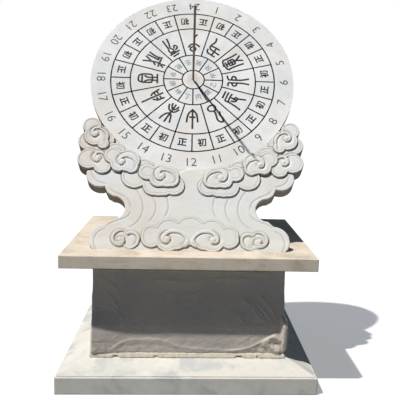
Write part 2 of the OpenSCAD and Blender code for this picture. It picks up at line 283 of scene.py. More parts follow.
# each stone's own tone, its warmer clouding and its cooler patches
whiteStone = marble("whiteStone", ((0.765, 0.75, 0.705), (0.72, 0.655, 0.575), (0.735, 0.735, 0.705)),
                    greyVeins, (2.6, 4.2), 0.5, carved=carvedLook)
dialStone = marble("dialStone", ((0.835, 0.82, 0.785), (0.755, 0.70, 0.63), (0.745, 0.75, 0.725)),
                   greyVeins, (3.4, 6.5), lined=True)
dieStone = marble("dieStone", ((0.735, 0.73, 0.695), (0.70, 0.665, 0.61), (0.73, 0.76, 0.755)), greyVeins)
capStone = marble("capStone", ((0.77, 0.655, 0.515), (0.58, 0.48, 0.365), (0.71, 0.635, 0.52)),
                  capVeins, (7, 19), strata=capStrata)
plinthStone = marble("plinthStone", ((0.71, 0.677, 0.60), (0.68, 0.64, 0.56), (0.53, 0.53, 0.495)),
                     plinthVeins, (5, 7.5))


def plainFinish(name, colour, dark, rough, metal=0.0, scale=60, depth=0.0008):
    shader = Shader(name, Metallic=metal)
    cloud = shader.noise(scale, 4, 0.65)
    fine = shader.noise(scale * 5, 3, 0.6)
    tint = shader.mix(shader.band(cloud, 0.35, 0.7), colour, dark)
    normal = shader.bump(fine, 0.5, depth)
    return shader.finish(Base_Color=tint, Roughness=rough + 0.15 * cloud, Normal=normal)


mortarStone = plainFinish("mortarStone", (0.67, 0.61, 0.50), (0.56, 0.495, 0.39), 0.85, 0, 45, 0.003)
rustyIron = plainFinish("rustyIron", (0.25, 0.15, 0.10), (0.12, 0.078, 0.058), 0.6, 0.2, 45, 0.0008)
pinSteel = plainFinish("pinSteel", (0.55, 0.55, 0.56), (0.42, 0.42, 0.43), 0.3, 1.0, 80, 0.0002)
dullSteel = plainFinish("dullSteel", (0.4, 0.39, 0.37), (0.26, 0.24, 0.22), 0.45, 0.9, 50, 0.0003)

finishes = {"base_plinth": plinthStone, "cap_slab": capStone, "pedestal_die": dieStone,
            "rear_prop": dieStone, "dial_disc": dialStone, "gnomon_rod": rustyIron,
            "gnomon_sleeve": dullSteel}
for name in ("die_dowels", "cap_dowels", "stand_dowels", "prop_dowels", "dial_pins"):
    finishes[name] = pinSteel
for name, material in finishes.items():
    nodes[name].data.materials.clear()
    nodes[name].data.materials.append(material)
print("stage: finishes made")

# The carved stand, in millimetres on the slope

# the right half of its outline, from the middle of the foot to above the waist
waistSide = [(-90, -60), (440, -60), (380, 128), (352, 156), (352, 266), (378, 282), (392, 312)]
stand = {
    "cell": 2.2, "below": 12, "top": 690, "half": 545, "back": -84, "field": -20, "waist": -14,
    "waistRound": 5, "footRise": 6, "footTop": 70, "footFade": 50, "seatRadius": 500.3, "seatLevel": -60,
    "arris": 4, "wallTop": -23, "wallShares": (0, 0.35, 0.7, 1.0),
    "outline": waistSide + [(430, 400), (420, 590), (-90, 590)],
    "waistFace": waistSide + [(400, 400), (-90, 340)],
    "hips": [(415, 377, 66), (375, 59, 72)],
    "waistCut": (352, 211, 55),
    "crest": [(0, 337, 76)],
}
# each cloud: round lobes (across, up, radius) on the right-hand side
clouds = {
    "upper": [(470, 624, 44), (452, 570, 51), (433, 566, 45), (413, 530, 28)],
    "outer": [(362, 468, 42), (295, 444, 57), (277, 412, 32), (335, 425, 38)],
    "middle": [(140, 371, 57), (110, 366, 54), (92, 350, 37), (152, 350, 38), (203, 387, 40)],
    "foot": [(28, 45, 27), (62, 58, 50), (98, 52, 54), (0, 100, 70), (95, 95, 62), (172, 79, 44),
             (172, 62, 45)],
    "side": [(475, 452, 52), (410, 418, 41), (428, 455, 38)],
    "end": [(308, 62, 42), (259, 60, 37), (261, 50, 38)],
    "upperBack": [(432, 556, 70), (478, 548, 52)],
    "outerBack": [(358, 489, 49), (222, 405, 52)],
    "middleBack": [(78, 322, 47), (126, 320, 49), (150, 330, 60), (172, 321, 49), (260, 367, 60)],
}
# how high each cloud stands, from the lowest layer to the front one, and the width of its rim
layers = [("upperBack", -6, 11), ("outerBack", -6, 11), ("middleBack", -6, 12), ("end", -4, 13),
          ("side", -4, 11), ("foot", 0, 12), ("middle", 2, 16), ("outer", 2, 12), ("upper", 2, 11)]
edgeForm = {"round": 3.4, "sunk": 0.9, "groove": 1.4, "half": 2.2, "moat": 1.8, "moatWidth": 5,
            "moatFloor": -22}
# the scrolls: cloud, across, up, rise, radius of the disc and of the eye on it, and the arm round it as
# angles with the radii of its outer and inner edge
scrolls = [
    ("middle", 138, 364, 0.8, 18, 11,
     [(225, 18, 0), (270, 20, 0), (360, 28, 0), (405, 40, 0), (420, 44, 12), (445, 52, 24), (499, 69, 37),
      (528, 78, 54), (556, 88, 71), (566, 92, 69), (580, 94, 57)]),
    ("foot", 103, 55, 2.6, 17, 11,
     [(225, 17, 0), (270, 19, 0), (360, 27, 0), (405, 32, 8), (429, 36, 14), (458, 45, 22), (477, 55, 33),
      (497, 67, 46), (511, 78, 60), (522, 87, 70), (539, 100, 83), (549, 104, 80), (560, 98, 70),
      (575, 88, 56)]),
    ("outer", 320, 436, 0.8, 15, 10,
     [(225, 15, 0), (270, 16, 0), (360, 20, 0), (405, 28, 0), (425, 34, 8), (457, 44, 17), (508, 65, 36),
      (530, 72, 51), (558, 84, 68), (567, 88, 70), (580, 92, 66)]),
    ("upper", 450, 580, 0.8, 15, 10,
     [(225, 15, 0), (270, 17, 0), (360, 22, 0), (400, 29, 0), (421, 33, 19), (450, 38, 24), (495, 50, 30),
      (524, 60, 37), (552, 68, 46), (582, 80, 60), (590, 88, 72), (605, 94, 76)]),
    ("side", 432, 455, 0.8, 16, 10,
     [(225, 16, 0), (270, 20, 0), (360, 27, 0), (400, 30, 0), (420, 32, 14), (443, 34, 22), (479, 37, 25),
      (512, 40, 27), (540, 45, 29), (553, 60, 41), (575, 80, 58)]),
    ("end", 310, 54, 1.5, 12, 11,
     [(480, 12, 0), (516, 20, 0), (550, 24, 0), (576, 27, 0), (613, 34, 0), (640, 39, 9), (661, 41, 13),
      (690, 42, 20), (728, 43, 23), (751, 45, 26), (785, 49, 31), (825, 55, 39), (856, 62, 46),
      (880, 66, 50)]),
    ("end", 258, 56, 1.5, 0, 1,
     [(40, 44, 24), (90, 44, 22), (180, 44, 22), (225, 50, 25), (262, 56, 30)]),
]
armForm = {"round": 7, "near": 2.0, "eye": 2.4, "ring": 1.6, "ringHalf": 2.6, "trough": 3.6, "fall": 8,
           "under": 6.5, "tail": 20, "side": 10, "reach": 12}
# how dark the painted shade in the creases is, how wide, and where round a cloud's edge
creaseShadeForm = {"at": 1.5, "wide": 3, "rim": 0.5, "rimWide": 2.4, "arm": 0.8, "armWide": 2, "line": 0.7}
# where the end cloud's inner corner gives way to what lies under it
endNotch = {"across": 279, "up": 16, "squash": 0.8, "size": 24}
# curved lines carved on the waist and along its borders, and their depth and half width
flowLines = {
    "lines": [
        [(118, 284), (94, 235), (94, 195), (124, 160)], [(184, 280), (146, 225), (146, 190), (190, 138)],
        [(262, 312), (196, 245), (196, 150), (278, 112)], [(372, 318), (366, 268), (268, 290), (268, 200)],
        [(268, 200), (268, 140), (360, 160), (378, 108)], [(456, 396), (456, 350), (420, 328), (376, 328)],
        [(366, 108), (438, 100), (436, 20), (392, -12)]],
    "depth": 2.2, "half": 6}


def lobeField(x, v, lobes):
    return np.min([np.hypot(x - a, v - b) - r for a, b, r in lobes], axis=0)


def exposedRim(lobes, gap=1.5):
    # points along the parts of the circles that lie outside all the others
    found = []
    for i, (a, b, r) in enumerate(lobes):
        turns = np.arange(0, 2 * math.pi, gap / r)
        px, py = a + r * np.cos(turns), b + r * np.sin(turns)
        others = [c for j, c in enumerate(lobes) if j != i]
        if others:
            keep = lobeField(px, py, others) > -0.01
            px, py = px[keep], py[keep]
        found.append(np.stack([px, py], 1))
    return np.concatenate(found)


def cloudField(x, v, lobes):
    # as lobeField, but inside it is the true distance to the cloud's edge
    field = lobeField(x, v, lobes)
    deep = (field < -1.2) & (field > -60)
    rim = exposedRim(lobes)
    px, py = x[deep], v[deep]
    near = np.full(px.shape, 1e6)
    for a, b in rim:
        near = np.minimum(near, (px - a) ** 2 + (py - b) ** 2)
    field[deep] = np.minimum(field[deep], -np.sqrt(near))
    return field


def lineField(x, v, points):
    # distance to a run of straight pieces
    near = np.full_like(x, 1e6)
    for (ax, ay), (bx, by) in zip(points, points[1:]):
        sx, sy = bx - ax, by - ay
        t = np.clip(((x - ax) * sx + (v - ay) * sy) / (sx * sx + sy * sy), 0, 1)
        near = np.minimum(near, np.hypot(x - ax - t * sx, v - ay - t * sy))
    return near


def polygonField(x, v, corners):
    inside = np.zeros(x.shape, bool)
    for (ax, ay), (bx, by) in zip(corners, corners[1:] + corners[:1]):
        crosses = (ay > v) != (by > v)
        if by != ay:
            inside ^= crosses & (x < (bx - ax) * (v - ay) / (by - ay) + ax)
    away = lineField(x, v, corners + corners[:1])
    return np.where(inside, -away, away)


def outlineField(x, v, corners, extra):
    field = np.minimum(polygonField(x, v, corners), lobeField(x, v, stand["hips"] + extra))
    return np.maximum(field, -lobeField(x, v, [stand["waistCut"]]))


def standField(x, v):
    extra = clouds["side"] + clouds["upperBack"] + clouds["upper"]
    return outlineField(x, v, stand["outline"], extra)


def roundTop(inside, top, radius):
    # level of a surface that rolls over at its edge; inside is the distance from the edge
    reach = np.clip(radius - inside, 0, radius)
    return top - radius + np.sqrt(radius * radius - reach * reach)


def soft(value):
    value = np.clip(value, 0, 1)
    return value * value * (3 - 2 * value)


def bell(value, width):
    return np.exp(-(value / width) ** 2)


def layOver(height, field, top, rim):
    # a cloud's plate over what lies under it, with a hollow along its edge and a groove inside its rim
    half = edgeForm["moatWidth"] / 2
    moat = edgeForm["moat"] * np.clip(1.3 - np.abs(field - half * 0.8) / half, 0, 1) * (field > 0)
    under = np.maximum(height - moat, np.minimum(height, edgeForm["moatFloor"]))
    body = roundTop(-field, top, edgeForm["round"]) - edgeForm["sunk"] * soft((-field - rim + 2) / 4)
    body = body - edgeForm["groove"] * bell(field + rim, edgeForm["half"])
    return np.where(field < 0, body, under)


def scrollField(x, v, scroll):
    # how far inside the arm a point lies, the hollows in and beside the arm, its rise and the eye's button
    _, across, up, rise, disc, eye, arm = scroll
    angles, outers, inners = zip(*arm)
    radius = np.hypot(x - across, v - up)
    turn = (np.degrees(np.arctan2(v - up, x - across)) - angles[0]) % 360
    along = angles[0] + turn
    inside = np.where(disc > 0, disc - radius, -1000)
    within, whole = np.zeros_like(radius), np.zeros_like(radius)
    while np.any(along <= angles[-1]):
        outer, inner = np.interp(along, angles, outers), np.interp(along, angles, inners)
        here = along <= angles[-1]
        band = np.minimum(outer - radius, radius - inner)
        inside = np.where(here, np.maximum(inside, band), inside)
        fade = soft((angles[-1] - along) / armForm["tail"])
        within = np.where(here, np.maximum(within, soft((outer - radius) / armForm["side"]) * fade), within)
        whole = np.where(here & (band > -armForm["reach"]), np.maximum(whole, fade), whole)
        along = along + 360
    if not disc:
        return inside, within, np.zeros_like(radius), rise * whole, np.zeros_like(radius)
    whole = np.where(radius < disc + armForm["reach"], 1, whole)
    beside = soft(turn / 50) * soft((330 - turn) / 40) * np.clip((50 - radius) / 15, 0, 1)
    groove = np.clip(np.cos(np.radians(turn + angles[0] - 5)) * 1.2 + 0.3, 0, 1)
    ring = bell(radius - eye - 0.5, armForm["ringHalf"])
    button = armForm["eye"] * np.clip(1 - (radius / eye) ** 2, 0, 1) - armForm["ring"] * groove * ring
    near = armForm["near"] * np.clip((45 - radius) / 30, 0, 1)
    return inside, within, beside * (1 - within), rise * whole + near, button


def bezier(points, steps=16):
    a, b, c, d = [np.array(q, float) for q in points]
    return [tuple(a * (1 - t) ** 3 + 3 * t * (1 - t) ** 2 * b + 3 * t * t * (1 - t) * c + d * t ** 3)
            for t in np.linspace(0, 1, steps)]


def carveHeight(u, v):
    # the height out of the face and the painted shade of the creases
    x = np.abs(u)
    waistEdge = outlineField(x, v, stand["waistFace"], stand["crest"] + clouds["middleBack"])
    level = stand["waist"] + stand["footRise"] * soft((stand["footTop"] - v) / stand["footFade"])
    height = np.where(waistEdge < 0, roundTop(-waistEdge, level, stand["waistRound"]), stand["field"])
    near = np.zeros_like(height)
    for points in map(bezier, flowLines["lines"]):
        ends = np.min([np.hypot(x - a, v - b) for a, b in (points[0], points[-1])], axis=0)
        line = np.clip(1 - lineField(x, v, points) / flowLines["half"], 0, 1) * soft((ends + 6) / 30)
        near = np.maximum(near, line)
    height = height - flowLines["depth"] * near ** 1.2
    # painted shade along the carved lines
    crease = creaseShadeForm["line"] * near ** 2
    for name, top, rim in layers:
        field, under = cloudField(x, v, clouds[name]), height
        height = layOver(height, field, top, rim)
        if name == "end":
            away = np.hypot(x - endNotch["across"], (v - endNotch["up"]) * endNotch["squash"])
            height = height + (under - height) * soft(1.3 - away / endNotch["size"])
        # painted shade just outside each cloud's edge and along the groove inside its rim
        outer = bell(field - creaseShadeForm["at"], creaseShadeForm["wide"])
        inner = creaseShadeForm["rim"] * bell(field + rim, creaseShadeForm["rimWide"])
        crease = np.maximum(np.where(field < 0, 0, crease), np.maximum(outer, inner))
        for scroll in (scroll for scroll in scrolls if scroll[0] == name):
            inside, within, beside, rise, button = scrollField(x, v, scroll)
            gap = bell(np.minimum(inside, 0), armForm["fall"]) * np.clip((-field - 8) / 6, 0, 1)
            hollow = gap * (armForm["trough"] * within + armForm["under"] * beside)
            arm = roundTop(np.minimum(inside, -field), top + rise, armForm["round"]) + button
            raised = (inside > 0) & (field < 0)
            height = np.where(raised, np.maximum(arm, height - hollow), height - hollow)
            # painted shade along the arm's edge
            edge = bell(inside + creaseShadeForm["at"], creaseShadeForm["armWide"])
            edge = edge * np.maximum(within, beside) * (field < -8)
            crease = np.maximum(crease, creaseShadeForm["arm"] * edge)
    return height, crease


def standGrid():
    # a flat grid with the cells that lie outside the stand's outline taken away
    cell, below = stand["cell"], stand["below"]
    columns, rows = int(2 * stand["half"] / cell), int((stand["top"] + below) / cell)
    width, tall = columns * cell, rows * cell
    bm = newGrid(columns, rows)
    spread = Matrix.Translation((0, tall / 2 - below, 0)) @ Matrix.Diagonal((width, tall, 1, 1))
    bmesh.ops.transform(bm, matrix=spread, verts=bm.verts)
    place = np.array([p.co for p in bm.verts])
    field = standField(np.abs(place[:, 0]), place[:, 1])
    bm.verts.index_update()
    away = [f for f in bm.faces if all(field[p.index] > 0 for p in f.verts)]
    bmesh.ops.delete(bm, geom=away, context="FACES")
    return bm


def shiftOnto(fieldOf, u, v, target):
    # the move that takes each point along the field's slope to where it has the target value
    step, least = 0.2, 0.3
    gu = (fieldOf(np.abs(u + step), v) - fieldOf(np.abs(u - step), v)) / (2 * step)
    gv = (fieldOf(np.abs(u), v + step) - fieldOf(np.abs(u), v - step)) / (2 * step)
    share = (target - fieldOf(np.abs(u), v)) / np.maximum(gu * gu + gv * gv, least)
    return gu * share, gv * share


def cleanEdges(u, v, rim):
    # moves points onto the clouds' edges, the seat's edge and the outline, so that they come out clean
    reach = stand["cell"] * 0.55
    edges = [(lambda a, b, lobes=clouds[name]: lobeField(a, b, lobes), -0.05, 0.45)
             for name in ("middleBack", "side", "foot", "middle", "outer", "upper")]
    edges.append((lambda a, b: np.hypot(a, b - dialForm["middle"]) - stand["seatRadius"], 0.0, 0.15))
    for fieldOf, low, high in edges:
        value = fieldOf(np.abs(u), v)
        pick = (value > low - reach) & (value < high + reach)
        target = np.where(value > (low + high) / 2, high, low)[pick]
        du, dv = shiftOnto(fieldOf, u[pick], v[pick], target)
        u[pick] += du
        v[pick] += dv
    for _ in range(3):
        du, dv = shiftOnto(standField, u[rim], v[rim], 0)
        u[rim] += du
        v[rim] += dv


def standWalls(bm, sawnAndShadedLayer, creaseShadeLayer):
    # the sawn sides, drawn out from the rim to the back, and the back
    front = [e for e in bm.edges if e.is_boundary]
    for share in stand["wallShares"]:
        made = bmesh.ops.extrude_edge_only(bm, edges=front)["geom"]
        front = [g for g in made if isinstance(g, bmesh.types.BMEdge) and g.is_boundary]
        for p in {p for e in front for p in e.verts}:
            p.co.z = stand["wallTop"] + (stand["back"] - stand["wallTop"]) * share
            p[sawnAndShadedLayer] = 1
            p[creaseShadeLayer] = 0
    bmesh.ops.holes_fill(bm, edges=front, sides=0)


def carvedStand():
    bm = standGrid()
    place = np.array([p.co for p in bm.verts])
    u, v = place[:, 0].copy(), place[:, 1].copy()
    cleanEdges(u, v, np.array([p.is_boundary for p in bm.verts]))
    height, crease = carveHeight(u, v)
    edge = -standField(np.abs(u), v)
    height = np.minimum(height, roundTop(edge, height, stand["arris"]))
    seat = np.hypot(u, v - dialForm["middle"]) - stand["seatRadius"]
    height = np.where(seat < 0.1, np.where(seat < -0.5, stand["seatLevel"], stand["field"] - 0.3), height)
    creaseShadeLayer = bm.verts.layers.float.new("crease")
    sawnAndShadedLayer = bm.verts.layers.float.new("sawnAndShaded")
    for p, a, b, c, d in zip(bm.verts, u, v, height, crease):
        p.co = (a, b, c)
        p[creaseShadeLayer] = d
    flat = [p for p, s in zip(bm.verts, seat) if s < -6 and not p.is_boundary]
    known = set(flat)
    bmesh.ops.dissolve_limit(bm, angle_limit=0.01, verts=flat,
                             edges=[e for e in bm.edges if known.issuperset(e.verts)])
    standWalls(bm, sawnAndShadedLayer, creaseShadeLayer)
    bmesh.ops.transform(bm, matrix=onSlope, verts=bm.verts)
    whole = bm.verts[:] + bm.edges[:] + bm.faces[:]
    cut = bmesh.ops.bisect_plane(bm, geom=whole, dist=1e-7, plane_co=(0, 0, slope["capTop"] * mm),
                                 plane_no=(0, 0, 1), clear_inner=True)
    closeUp(bm, [g for g in cut["geom_cut"] if isinstance(g, bmesh.types.BMEdge)])
    print("stand faces", len(bm.faces), "triangles", sum(len(f.verts) - 2 for f in bm.faces))
    return fromMesh("carvedStand", bm, whiteStone, 35)


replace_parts(carvedStand(), "cloud_stand")
print("stage: stand carved")

# The dial's painted lines, signs and numbers

signs = {"stroke": 4.7, "flat": 0.14, "middle": 224, "halfRadius": 356, "halfSize": 45,
         "smallRadius": 103, "smallSize": 33, "numberRadius": 450, "numberSize": 62,
         "numberDrop": {11: 5, 12: 9, 13: 5}}
# strokes of the twelve double-hour signs: across and distance from the dial's middle
hourSigns = [
    [[(3, 171), (15, 173), (18, 184), (13, 195), (3, 198), (-8, 194), (-10, 183), (-6, 173), (3, 171)],
     [(-29, 196), (-20, 210), (0, 217), (18, 210), (27, 192)],
     [(0, 198), (0, 228), (-3, 252), (-9, 267), (-19, 274)]],
    [[(-22, 172), (12, 175), (30, 180), (31, 200)],
     [(-36, 195), (-6, 199), (26, 203), (30, 225), (20, 250), (20, 262), (27, 279)],
     [(-24, 222), (4, 226), (26, 222)], [(-3, 175), (-3, 224)]],
    [[(-35, 192), (-30, 181), (0, 177), (26, 180), (31, 192)], [(0, 168), (0, 178)],
     [(-30, 186), (-28, 225), (-35, 272)], [(28, 186), (27, 230), (33, 270)], [(-17, 190), (16, 190)],
     [(0, 190), (0, 242)], [(-14, 204), (14, 204)], [(-15, 204), (-14, 237)], [(15, 204), (14, 237)],
     [(-14, 220), (14, 220)], [(-14, 236), (14, 236)], [(0, 242), (-5, 258), (-16, 278)],
     [(0, 242), (6, 260), (18, 277)]],
    [[(-33, 172), (-13, 172)], [(-12, 172), (-12, 232), (-15, 256), (-20, 278)],
     [(-12, 191), (-30, 192), (-31, 214), (-12, 216)], [(30, 168), (12, 171), (5, 176)],
     [(5, 174), (4, 232), (8, 258), (14, 277)], [(4, 191), (25, 190), (26, 212), (4, 214)]],
    [[(-17, 176), (26, 171)], [(-24, 194), (-8, 190), (29, 187)], [(-20, 211), (8, 202), (30, 206)],
     [(-23, 193), (-18, 232), (-30, 284)], [(-9, 218), (-6, 241), (20, 244), (23, 227), (2, 226)],
     [(8, 203), (9, 242)], [(19, 243), (27, 262), (36, 281)]],
    [[(2, 206), (-18, 200), (-24, 184), (-12, 171), (8, 171), (19, 180), (16, 198), (2, 206)],
     [(2, 206), (1, 226), (-8, 246), (-8, 264), (4, 280), (16, 274), (18, 250), (14, 238), (24, 220)]],
    [[(-28, 246), (-27, 214), (-15, 188), (0, 179), (15, 188), (24, 214), (25, 244)],
     [(-8, 184), (0, 168), (8, 184)], [(0, 170), (0, 281)], [(-16, 216), (15, 216)]],
    [[(-24, 180), (-20, 202), (4, 217), (26, 206), (32, 184)],
     [(-12, 169), (-8, 190), (4, 201), (18, 194), (24, 171)], [(5, 167), (4, 281)],
     [(-25, 278), (-18, 240), (4, 222), (18, 236), (29, 272)]],
    [[(-2, 166), (-2, 284)], [(-29, 174), (-24, 192), (-25, 214), (-12, 228)], [(-25, 190), (-9, 190)],
     [(-26, 206), (-9, 206)], [(26, 173), (23, 192), (24, 214), (7, 228)], [(6, 190), (24, 188)],
     [(6, 207), (24, 206)]],
    [[(-26, 177), (29, 176)], [(-6, 178), (-6, 200)], [(11, 178), (11, 200)],
     [(0, 200), (22, 200), (25, 214), (25, 248), (18, 268), (0, 270), (-18, 266), (-25, 248),
      (-24, 214), (-20, 200), (0, 200)], [(-4, 200), (-4, 234), (-17, 238)],
     [(9, 200), (9, 234), (21, 239)], [(-23, 251), (24, 251)]],
    [[(3, 160), (6, 182), (16, 178), (19, 163)], [(-32, 200), (0, 194), (28, 187)],
     [(7, 184), (6, 200), (18, 238), (36, 273)], [(-28, 209), (-4, 208)],
     [(-20, 210), (-20, 244), (-26, 270)], [(-9, 210), (-8, 270)], [(14, 236), (4, 272)],
     [(26, 204), (20, 216), (12, 224)]],
    [[(-15, 171), (21, 165)], [(-26, 187), (32, 178)],
     [(-7, 199), (-24, 200), (-23, 224), (-6, 222), (-9, 207)],
     [(8, 184), (-4, 204), (14, 216), (2, 246), (0, 279)],
     [(18, 184), (28, 206), (20, 214), (22, 244), (24, 276)], [(-5, 188), (8, 200), (24, 186)]],
]
# the two half-hour signs with how bold each is, and the small signs of the inner ring
halfWords = (("\u6b63", 1.5), ("\u521d", 1.15))
smallWords = "\u4e59\u5dfd\u4e19\u4e01\u5764\u5e9a\u8f9b\u4e7e\u58ec\u7678\u826e\u7532"


def dialPlace(degrees, radius, rise=0.0):
    c, s = math.cos(math.radians(degrees)), math.sin(math.radians(degrees))
    return onSlope @ Matrix(((-s, -c, 0, radius * c), (c, -s, 0, dialForm["middle"] + radius * s),
                             (0, 0, 1, dialForm["face"] + rise), (0, 0, 0, 1)))


def takeMesh(bm, curve, place):
    # adds the mesh of a curve, or of a text about its middle, to bm
    holder = newObject("holder", curve)
    mesh = bpy.data.meshes.new_from_object(holder)
    points = np.array([p.co for p in mesh.vertices])
    if isinstance(curve, bpy.types.TextCurve):
        middle = (points.min(0) + points.max(0)) / 2
        place = place @ Matrix.Translation((-middle[0], -middle[1], 0))
    mesh.transform(place)
    bm.from_mesh(mesh)
    bpy.data.objects.remove(holder)
    bpy.data.meshes.remove(mesh)


def wordCurve(body, size, bold, rise=0.35):
    curve = bpy.data.curves.new("word", "FONT")
    curve.body = body
    curve.size = size
    curve.offset = bold
    curve.extrude = rise
    curve.resolution_u = 3
    return curve


def strokeCurve(strokes):
    curve = bpy.data.curves.new("stroke", "CURVE")
    curve.dimensions = "3D"
    curve.bevel_depth = signs["stroke"]
    curve.bevel_resolution = 1
    curve.use_fill_caps = True
    curve.resolution_u = 4
    for points in strokes:
        spline = curve.splines.new("NURBS" if len(points) > 2 else "POLY")
        spline.points.add(len(points) - 1)
        for point, (across, away) in zip(spline.points, points):
            point.co = (across, signs["middle"] - away, 0, 1)
        spline.order_u = 3
        spline.use_endpoint_u = True
    return curve


def paint(name, colour, rough):
    shader = Shader(name, Roughness=rough, Specular_IOR_Level=0.2)
    wear = shader.noise(180, 3, 0.6)
    tint = shader.mix(shader.band(wear, 0.45, 0.75), colour, tuple(c * 1.6 + 0.02 for c in colour))
    return shader.finish(Base_Color=tint, Normal=shader.bump(wear, 0.3, 0.0004))


blackPaint = paint("blackPaint", (0.012, 0.012, 0.013), 0.5)
greyPaint = paint("greyPaint", (0.10, 0.10, 0.10), 0.55)
slatePaint = paint("slatePaint", (0.03, 0.03, 0.032), 0.5)


def lettering(name, material, marks):
    # one piece of all the marks, each a curve or a text with its place
    bm = bmesh.new()
    for curve, place in marks:
        takeMesh(bm, curve, place)
    fromMesh(name, bm, material)


flatten = Matrix.Diagonal((1, 1, signs["flat"], 1))
lettering("doubleHourSigns", blackPaint,
          ((strokeCurve(strokes), dialPlace(90 - 30 * hour, signs["middle"]) @ flatten)
           for hour, strokes in enumerate(hourSigns)))
lettering("halfHourSigns", blackPaint,
          ((wordCurve(halfWords[half % 2][0], signs["halfSize"], halfWords[half % 2][1]),
            dialPlace(82.5 - 15 * half, signs["halfRadius"])) for half in range(24)))
lettering("smallSigns", greyPaint,
          ((wordCurve(word, signs["smallSize"], -0.1), dialPlace(-15 - 30 * index, signs["smallRadius"]))
           for index, word in enumerate(smallWords)))
lettering("hourNumbers", slatePaint,
          ((wordCurve(str(hour), signs["numberSize"], -0.45),
            dialPlace(90 - 15 * hour, signs["numberRadius"] + signs["numberDrop"].get(hour, 0)))
           for hour in range(1, 25)))
print("stage: dial lettered")

# The protective film: one long sheet wrapped round the pedestal stone, its end lapped over at the back

film = {"half": 422.6, "corner": 7, "low": 141, "high": 541, "lap": 90, "lapLift": 2.6, "thick": 1.2,
        "fineStep": 3.6, "wideStep": 13, "fineRow": 4, "wideRow": 9, "fineBelow": 400, "front": -385,
        "undulation": 1.3, "crinkle": 0.45, "seed": 7}
# how far the film stands off the stone: on the front by height and, near its left corner, by place
filmBulge = {"heights": [141, 160, 200, 235, 270, 330, 420], "front": [17, 18.5, 20, 20, 18, 9, 0],
             "others": [1, 2, 3.5, 3.5, 3, 1, 0],
             "corner": ([-430, -400, -350, -275, -200], [15, 12, 6.5, 0.5, 0])}
# the run along one straight side and round one corner
straight, bend = 2 * (film["half"] - film["corner"]), math.pi / 2 * film["corner"]
# folds on a side: strength, width below and above, and the line of the fold (across, height)
filmFolds = {
    "front": [
        (2.0, 26, 2.6, [(-352, 150), (-326, 172), (-300, 190), (-262, 204), (-200, 208), (-130, 205),
         (-96, 198), (-40, 176), (10, 168), (86, 163), (182, 158), (232, 162)]),
        (3.6, 14, 3, [(170, 157), (232, 162), (270, 172), (306, 190), (345, 212), (375, 232), (398, 248)]),
        (-1.2, 9, 8, [(-330, 150), (-280, 176), (-200, 184), (-110, 178), (-40, 156)]),
        (4.5, 6, 5, [(236, 400), (290, 340), (337, 282)]),
        (4.0, 6, 5, [(262, 392), (318, 326), (345, 290)]),
        (4.0, 6, 5, [(284, 388), (340, 330), (372, 292)]), (3.2, 6, 5, [(200, 340), (262, 268)]),
        (3.4, 6, 5, [(300, 420), (372, 340), (390, 300)]), (2.6, 6, 6, [(-407, 448), (-408, 273)]),
        (3.4, 9, 7, [(-342, 388), (-297, 330)]), (4.2, 9, 7, [(-334, 350), (-290, 304), (-282, 262)]),
        (3.6, 9, 7, [(-380, 480), (-320, 430), (-296, 380)]),
        (3.4, 8, 6, [(-372, 420), (-330, 380), (-310, 340)]),
        (3.2, 8, 6, [(-190, 462), (-104, 473), (-16, 462), (60, 470)]),
        (3.0, 7, 6, [(100, 474), (173, 482), (300, 478)]),
        (3.2, 7, 6, [(130, 500), (220, 512), (330, 500), (400, 520)]),
        (1.5, 5, 4, [(-160, 226), (-60, 232), (20, 224)]),
        (2.6, 7, 6, [(-120, 420), (-40, 400), (60, 410)]),
        (-3, 16, 16, [(-40, 500), (-30, 440), (-36, 380)]), (-3, 20, 20, [(70, 500), (86, 440), (80, 380)]),
        (-2.4, 4, 4, [(404, 536), (403, 420), (402, 252), (404, 200), (403, 150)]),
        (1.8, 4, 4, [(-400, 536), (-402, 420), (-400, 280)])],
    "right": [
        (6, 14, 9, [(-400, 230), (-330, 196), (-200, 172), (-20, 178), (140, 196), (300, 190), (400, 205)]),
        (2.2, 5, 4, [(-300, 420), (-210, 330), (-190, 260)]),
        (1.8, 5, 4, [(80, 480), (160, 420), (200, 360)])],
    "back": [
        (7, 15, 9, [(-400, 200), (-260, 182), (-90, 196), (60, 170), (220, 176), (400, 196)]),
        (2, 5, 4, [(-320, 440), (-240, 360)]), (2, 5, 4, [(120, 300), (220, 250), (330, 262)])],
    "left": [
        (6, 14, 9, [(-400, 196), (-250, 205), (-60, 180), (120, 168), (300, 188), (400, 208)]),
        (2, 5, 4, [(-160, 430), (-60, 350), (-40, 300)]), (1.8, 5, 4, [(250, 470), (330, 400)])],
}
# the crumpled lower right corner of the front: where it starts and ends, the line of its upper edge, and
# its facets' peaks as across, height, rise
filmCorner = {"from": 245, "to": 407, "lift": 3, "flare": 9,
              "edge": ([240, 276, 330, 380, 420, 440], [141, 166, 205, 236, 250, 252])}
crumples = [(262, 148, 2), (290, 163, 9), (302, 143, 1), (318, 168, 3), (326, 148, 9), (338, 192, 11),
            (350, 160, 1), (362, 178, 11), (368, 148, 4), (376, 218, 12), (386, 194, 2), (390, 162, 10),
            (394, 240, 9), (399, 212, 12), (404, 176, 2), (404, 146, 8), (412, 226, 6), (416, 190, 9)]
# how far the film stands out past each lower front corner, by height, and forward of the right one
filmEars = {"right": ([141, 156, 172, 196, 240, 264, 280, 300, 316], [2, 12, 17, 20, 22, 21, 19, 12, 2]),
            "left": ([141, 170, 220, 280, 330], [7, 6, 4, 1, 0]),
            "forward": ([141, 160, 200, 270, 296, 318], [0, 8, 18, 26, 20, 0])}


